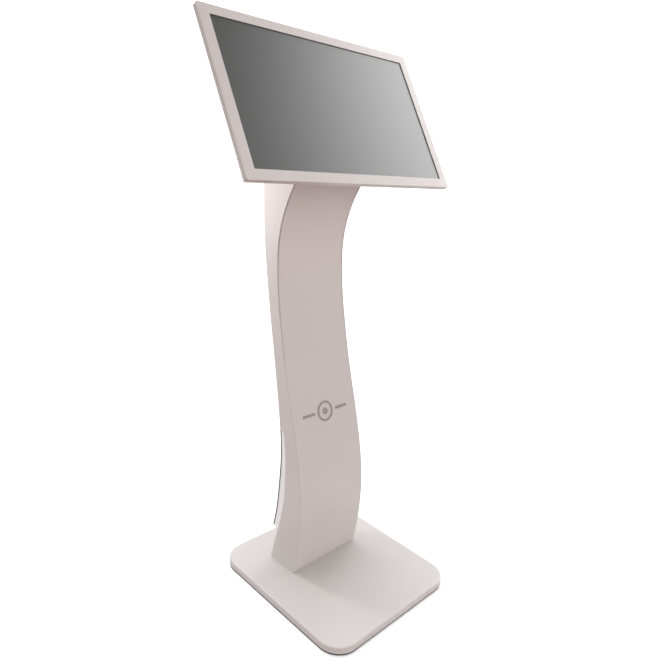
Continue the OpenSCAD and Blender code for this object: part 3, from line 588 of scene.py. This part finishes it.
def make_rear_panel():
    """The sheet above the service door, with a lip folded in at its lower end."""
    inner, outer = long_chains("column_upper_rear_panel")
    panel_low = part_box("column_upper_rear_panel")[0]
    thick = (outer[-1] - inner[-1]).length
    start = outer[0]
    curve = [place for place in smoothed(outer) if place.y > start.y + PANEL_FOLD]
    lip = [Vector((panel_low.y, start.y)), Vector((start.x - PANEL_FOLD, start.y))]
    for sine, cosine in quarter(6)[1:]:
        lip.append(Vector((start.x - PANEL_FOLD * (1 - sine), start.y + PANEL_FOLD * (1 - cosine))))
    build = bmesh.new()
    slab(build, lip + curve, lambda height: skin_high.x - PANEL_GAP, thick, 1, PANEL_EDGE)
    new_piece(build, "rear_panel_sheet", "column_upper_rear_panel")


def inset_loop(loop, inset):
    """The loop moved inwards by that much. It runs anticlockwise."""
    moved = []
    count = len(loop)
    for index, place in enumerate(loop):
        into = (place - loop[index - 1]).normalized()
        out = (loop[(index + 1) % count] - place).normalized()
        normal = (Vector((-into.y, into.x)) + Vector((-out.y, out.x))).normalized()
        reach = max(normal.dot(Vector((-into.y, into.x))), LEAST_MITRE)
        moved.append(place + normal * inset / reach)
    return moved


def make_cheek(name, outer_x, inner_x):
    """A flat sheet, rounded along its outer edge."""
    curve = []
    for part in chains(side_outline(name, min(outer_x, inner_x))):
        curve += smoothed(part)[:-1]
    twice_area = sum(a.x * b.y - b.x * a.y for a, b in zip(curve, curve[1:] + curve[:1]))
    if twice_area < 0:
        curve.reverse()
    inward = 1 if inner_x > outer_x else -1
    section = [(outer_x + inward * CHEEK_EDGE * (1 - sine), CHEEK_EDGE * (1 - cosine))
               for sine, cosine in reversed(quarter())]
    section += [(inner_x - inward * CHEEK_BREAK, 0), (inner_x, CHEEK_BREAK)]
    rings = []
    for x, inset in section:
        rings.append([(x, place.x, place.y) for place in inset_loop(curve, inset)])
    build = bmesh.new()
    loft(build, rings, capped=True)
    new_piece(build, name.replace("column_", "") + "_plate", name)


# ---------------------------------------------------------------- service door

DOOR_SHEET = 1.5 * MM
DOOR_FOLD = 2.5 * MM        # how far from each fold's line its rounding starts
LOCK_HOLE = 9.2 * MM
PIVOT_HOLE = 3.6 * MM
# How far the drill reaches to each side of the lock's and the pivots' places
LOCK_DRILL = 12 * MM
PIVOT_DRILL = 6 * MM
FACES_ALONG_Y = 0.8         # least share of a face's normal along Y


def door_levels(high):
    """Each row of the CAD door's corners: height, y of its free edges, y of its back, x of its folds."""
    rows = {}
    for vertex in nodes["service_door"].data.vertices:
        rows.setdefault(round(vertex.co.z, 5), []).append(vertex.co)
    levels = []
    for height, places in sorted(rows.items()):
        # A row that stops short of the full width, such as one round a hole, isn't part of the outline
        if max(place.x for place in places) < high.x - SAME:
            continue
        front = min(place.y for place in places if place.x > high.x - SAME)
        rear = max(place.y for place in places)
        fold = max(place.x for place in places if place.y > rear - SAME)
        levels.append((height, front, rear, fold))
    return levels


def make_door():
    """A pan folded from one sheet and open towards the column, with holes for its lock and pivots."""
    low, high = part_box("service_door")
    levels = door_levels(high)
    fronts = smoothed([Vector((front, height)) for height, front, rear, fold in levels], 2)
    rears = smoothed([Vector((rear, height)) for height, front, rear, fold in levels], 2)
    fold = levels[0][3]
    rings = []
    for front, rear in zip(fronts, rears):
        rings.append([(-high.x, front.x, front.y), (-fold, rear.x, rear.y),
                      (fold, rear.x, rear.y), (high.x, front.x, front.y)])
    build = bmesh.new()
    loft(build, rings, capped=True)
    bmesh.ops.recalc_face_normals(build, faces=build.faces)
    open_side = [face for face in build.faces if face.normal.y < -FACES_ALONG_Y]
    bmesh.ops.delete(build, geom=open_side, context="FACES_ONLY")
    folds = [edge for edge in build.edges
             if len(edge.link_faces) == 2 and edge.calc_face_angle() > math.radians(SHARP)]
    bmesh.ops.bevel(build, geom=folds, offset=DOOR_FOLD, segments=5, profile=0.5, affect="EDGES",
                    clamp_overlap=True)
    bmesh.ops.remove_doubles(build, verts=build.verts, dist=2 * SAME)
    bmesh.ops.recalc_face_normals(build, faces=build.faces)
    rearward_area = sum(face.normal.y * face.calc_area() for face in build.faces
                        if abs(face.normal.y) > FACES_ALONG_Y)
    if rearward_area < 0:
        bmesh.ops.reverse_faces(build, faces=build.faces)
    bmesh.ops.solidify(build, geom=build.faces, thickness=DOOR_SHEET)
    pivot = Vector(joint_of["door_swing"]["pos_m"])
    lock = Vector(joint_of["lock_turn"]["pos_m"])
    holes = [(Vector((lock.x, lock.y - LOCK_DRILL, lock.z)),
              Vector((lock.x, lock.y + LOCK_DRILL, lock.z)), LOCK_HOLE)]
    for end in (low.z, high.z):
        holes.append((Vector((pivot.x, pivot.y, end - PIVOT_DRILL)),
                      Vector((pivot.x, pivot.y, end + PIVOT_DRILL)), PIVOT_HOLE))
    new_piece(drill(build, holes), "service_door_pan", "service_door", sharp=40)


# ---------------------------------------------------------------- screws

SCREW_SIDES = 36
LEAST_SHANK = 0.5 * MM      # nearer to the axis than this is a cap's centre, not the shank
HEAD_SLACK = 0.1 * MM       # how far inside the widest circle still counts as the head
DOME_SHARE = 0.8            # of the head's height
DOME_MOST = 1.6 * MM
# The hexagon socket: its size as a share of the head's radius, then shares of that size and of the dome
SOCKET = 0.42
SOCKET_RIM = 1.3
SOCKET_FLOOR = 0.97
SOCKET_DEPTH = 0.7


def broad_side(name, toward, least=0.5):
    """The normal of a node's largest face whose normal has at least that share along a direction."""
    sides = [face for face in nodes[name].data.polygons if face.normal.dot(toward) > least]
    return max(sides, key=lambda face: face.area).normal.normalized()


def button_screws(name, out_of):
    """Button heads with a hexagon socket, in place of a CAD node's plain screws."""
    build = bmesh.new()
    around = [math.tau * step / SCREW_SIDES for step in range(SCREW_SIDES)]
    sixth = math.pi / 3
    for screw in solids(name):
        out = out_of(screw)
        side = out.orthogonal().normalized()
        other = out.cross(side)
        reach = [place.dot(out) for place in screw]
        across = [(place.dot(side), place.dot(other)) for place in screw]
        centre = [(min(axis) + max(axis)) / 2 for axis in zip(*across)]
        middle = side * centre[0] + other * centre[1]
        size = [math.dist(place, centre) for place in across]
        radius = max(size)
        shank = min(value for value in size if value > LEAST_SHANK)
        top, bottom = max(reach), min(reach)
        step_at = min(value for value, wide in zip(reach, size) if wide > radius - HEAD_SLACK)
        dome = min(DOME_SHARE * (top - step_at), DOME_MOST)
        socket = radius * SOCKET
        spokes = [side * math.cos(turn) + other * math.sin(turn) for turn in around]

        def ring(wide, height):
            return [middle + out * height + spoke * wide for spoke in spokes]

        def hexagon(wide, height):
            return [middle + out * height + spoke * wide / math.cos((turn + sixth / 2) % sixth - sixth / 2)
                    for turn, spoke in zip(around, spokes)]

        rings = [ring(shank, bottom), ring(shank, step_at), ring(radius, step_at)]
        flat = socket * SOCKET_RIM
        for sine, cosine in quarter(6):
            rings.append(ring(flat + (radius - flat) * cosine, top - dome * (1 - sine)))
        rings.append(hexagon(socket, top))
        rings.append(hexagon(socket * SOCKET_FLOOR, top - dome * SOCKET_DEPTH))
        loft(build, rings, capped=True)
    new_piece(build, name + "_buttons", name, sharp=40)


def straight_out(direction):
    """The same direction for every screw."""
    return lambda screw: direction


make_bezel()
make_front_skin()
make_rear_panel()
make_cheek("column_cheek_left", cheek_low.x, cheek_high.x)
right_low, right_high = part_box("column_cheek_right")
make_cheek("column_cheek_right", right_high.x, right_low.x)
make_door()
button_screws("rim_screws", off_the_rim)
button_screws("rear_cover_screws", straight_out(-OUTWARD))
button_screws("hatch_screws", straight_out(-OUTWARD))
button_screws("kick_panel_screws", straight_out(broad_side("kick_panel", REARWARD)))


# ---------------------------------------------------------------- the other CAD nodes

WIDE_EDGES = {"rear_cover": 0.5 * MM, "base_cover": 0.5 * MM}
FINE_EDGE = 0.25 * MM
WELD_REACH = 0.002 * MM
FLAT_TURN = 0.1     # degrees: faces that turn less than this become one
HARD_TURN = 32      # degrees: edges that turn more than this are rounded


def finish_node(name, edge):
    """Gives a CAD node its material, and rounds its hard edges by that width."""
    piece = nodes[name]
    piece.data.materials.clear()
    piece.data.materials.append(materials[slot_of[name]])
    for face in piece.data.polygons:
        face.use_smooth = True
        face.material_index = 0
    old = piece.data.attributes.get("custom_normal")
    if old:
        piece.data.attributes.remove(old)
    weld = piece.modifiers.new("weld", "WELD")
    weld.merge_threshold = WELD_REACH
    flat = piece.modifiers.new("flat", "DECIMATE")
    flat.decimate_type = "DISSOLVE"
    flat.angle_limit = math.radians(FLAT_TURN)
    bevel = piece.modifiers.new("edges", "BEVEL")
    bevel.width = edge
    bevel.segments = 2
    bevel.limit_method = "ANGLE"
    bevel.angle_limit = math.radians(HARD_TURN)
    bevel.use_clamp_overlap = True
    normals = piece.modifiers.new("normals", "WEIGHTED_NORMAL")
    normals.keep_sharp = True


for name in nodes:
    if not nodes[name].hide_render:
        finish_node(name, WIDE_EDGES.get(name, FINE_EDGE))


# ---------------------------------------------------------------- stage and light

FLOOR_HALF = 150
FLOOR_GLOW = 0.4
BACKDROP_RADIUS = 60
BACKDROP_GLOW = 1.1
GLOSS_RADIUS = 30
# The glow all round, by height: below the horizon, along it, and overhead
GROUND_GLOW = 0.28
GROUND_TINT = (1.38, 0.92, 0.86)
HORIZON_GLOW = 1.06
SKY_GLOW = 0.12
HORIZON_FOOT = (-0.06, -0.012)  # where the ground's glow turns into the horizon's, as a direction's height
HORIZON_TOP = (14, 30)          # where the horizon's glow turns into the sky's, in degrees
NEUTRAL = (1, 1, 1)
BLACK = (0, 0, 0)
# Soft round sources far away: direction, inner and outer radius in degrees, radiance and tint
WINDOW = ((0.93, 0.05, 0.38), 9, 37)
SOFT_SOURCES = [
    ((0.02, 0.44, 0.90), 12, 40, 2.3, (0.99, 1.0, 1.01)),
    ((-0.75, 0.35, 0.55), 10, 45, 0.3, NEUTRAL),
    (*WINDOW, 2.2, NEUTRAL),
    ((-0.12, -0.90, 0.42), 8, 38, 1.15, (1.06, 0.98, 0.95)),
]
# The window again, for gloss alone: the screen mirrors it more strongly than it lights the kiosk
GLOSS_SOURCE = (*WINDOW, 2.8, NEUTRAL)


def smooth_step(tree, value, start, end, level):
    """Goes from 0 at start to level at end."""
    step = tree.nodes.new("ShaderNodeMapRange")
    step.interpolation_type = "SMOOTHSTEP"
    tree.links.new(value, step.inputs["Value"])
    step.inputs["From Min"].default_value = start
    step.inputs["From Max"].default_value = end
    step.inputs["To Max"].default_value = level
    return step.outputs["Result"]


def lobe(tree, ray, direction, inner, outer, level):
    """A soft round patch of that level in that direction."""
    toward = tree.nodes.new("ShaderNodeVectorMath")
    toward.operation = "DOT_PRODUCT"
    tree.links.new(ray, toward.inputs[0])
    toward.inputs[1].default_value = Vector(direction).normalized()
    edge, core = (math.cos(math.radians(angle)) for angle in (outer, inner))
    return smooth_step(tree, toward.outputs["Value"], edge, core, level)


def tinted(tree, strength, colour, total):
    """Adds colour times strength to total, which is a plain colour or another result."""
    scaled = tree.nodes.new("ShaderNodeVectorMath")
    scaled.operation = "MULTIPLY_ADD"
    scaled.inputs[0].default_value = colour
    tree.links.new(strength, scaled.inputs[1])
    if isinstance(total, tuple):
        scaled.inputs[2].default_value = total
    else:
        tree.links.new(total, scaled.inputs[2])
    return scaled.outputs[0]


def stage_white(name, rough, glow):
    """A plain white that also glows."""
    material = surface(name, (0.9, 0.9, 0.9), rough, spread=0.003, grain_depth=0.00001)
    shader = material.node_tree.nodes["Principled BSDF"]
    shader.inputs["Emission Color"].default_value = grey(1)
    shader.inputs["Emission Strength"].default_value = glow
    return material


def make_floor():
    mesh = bpy.data.meshes.new("floor")
    build = bmesh.new()
    bmesh.ops.create_grid(build, x_segments=1, y_segments=1, size=FLOOR_HALF)
    build.to_mesh(mesh)
    build.free()
    floor = add_object("floor", mesh)
    # A faint glow keeps the floor white up to the kiosk's edge, as a backdrop that is lit of its own
    mesh.materials.append(stage_white("floor_paint", 0.8, FLOOR_GLOW))
    # The room's own ground colour lights the kiosk from below, so a white floor doesn't wash it out
    floor.visible_diffuse = False


def make_dome(name, radius, material, camera):
    """A sphere round the room, for the camera alone or for gloss alone. It casts no shadow."""
    mesh = bpy.data.meshes.new(name)
    build = bmesh.new()
    bmesh.ops.create_uvsphere(build, u_segments=64, v_segments=32, radius=radius)
    build.to_mesh(mesh)
    build.free()
    mesh.materials.append(material)
    dome = add_object(name, mesh)
    dome.visible_camera = camera
    dome.visible_glossy = not camera
    dome.visible_diffuse = False
    dome.visible_transmission = False
    dome.visible_volume_scatter = False
    dome.visible_shadow = False


def make_backdrop():
    """Plain white behind the kiosk from every side."""
    make_dome("backdrop", BACKDROP_RADIUS, stage_white("backdrop_white", 0.9, BACKDROP_GLOW), camera=True)


def make_gloss_source():
    """The bright window that the screen mirrors: it shows in gloss, on top of what the world gives."""
    material = bpy.data.materials.new("gloss_source")
    material.use_nodes = True
    tree = material.node_tree
    tree.nodes.clear()
    place = tree.nodes.new("ShaderNodeTexCoord")
    ray = tree.nodes.new("ShaderNodeVectorMath")
    ray.operation = "NORMALIZE"
    tree.links.new(place.outputs["Object"], ray.inputs[0])
    direction, inner, outer, level, tint = GLOSS_SOURCE
    glow = tinted(tree, lobe(tree, ray.outputs[0], direction, inner, outer, level), tint, BLACK)
    emission = tree.nodes.new("ShaderNodeEmission")
    tree.links.new(glow, emission.inputs["Color"])
    clear = tree.nodes.new("ShaderNodeBsdfTransparent")
    both = tree.nodes.new("ShaderNodeAddShader")
    tree.links.new(emission.outputs[0], both.inputs[0])
    tree.links.new(clear.outputs[0], both.inputs[1])
    output = tree.nodes.new("ShaderNodeOutputMaterial")
    tree.links.new(both.outputs[0], output.inputs["Surface"])
    make_dome("gloss_source", GLOSS_RADIUS, material, camera=False)


def make_world():
    """The glow all round and the soft sources, in one background."""
    world = bpy.data.worlds.new("world")
    bpy.context.scene.world = world
    world.use_nodes = True
    tree = world.node_tree
    back = tree.nodes["Background"]
    place = tree.nodes.new("ShaderNodeTexCoord")
    split = tree.nodes.new("ShaderNodeSeparateXYZ")
    tree.links.new(place.outputs["Generated"], split.inputs[0])
    height = split.outputs["Z"]
    low, high = (math.sin(math.radians(angle)) for angle in HORIZON_TOP)
    ground = tuple(tint * GROUND_GLOW for tint in GROUND_TINT)
    horizon = tuple(HORIZON_GLOW - level for level in ground)
    total = tinted(tree, smooth_step(tree, height, *HORIZON_FOOT, 1), horizon, ground)
    total = tinted(tree, smooth_step(tree, height, low, high, SKY_GLOW - HORIZON_GLOW), NEUTRAL, total)
    for direction, inner, outer, level, tint in SOFT_SOURCES:
        patch = lobe(tree, place.outputs["Generated"], direction, inner, outer, level)
        total = tinted(tree, patch, tint, total)
    tree.links.new(total, back.inputs["Color"])


def area_light(name, place, target, size, power):
    """A lit rectangle that faces the target. The camera doesn't see it."""
    data = bpy.data.lights.new(name, "AREA")
    data.shape = "RECTANGLE"
    data.size, data.size_y = size
    data.energy = power
    lamp = add_object(name, data)
    lamp.location = place
    lamp.rotation_euler = (Vector(target) - Vector(place)).to_track_quat("-Z", "Y").to_euler()
    lamp.visible_camera = False


bpy.context.scene.view_settings.view_transform = "Standard"
make_camera()
make_floor()
make_backdrop()
make_gloss_source()
make_world()
area_light("left_strip", place=(-0.34, 0.8, 1.15), target=(-0.13, 0.15, 1.1), size=(0.12, 0.5), power=4)
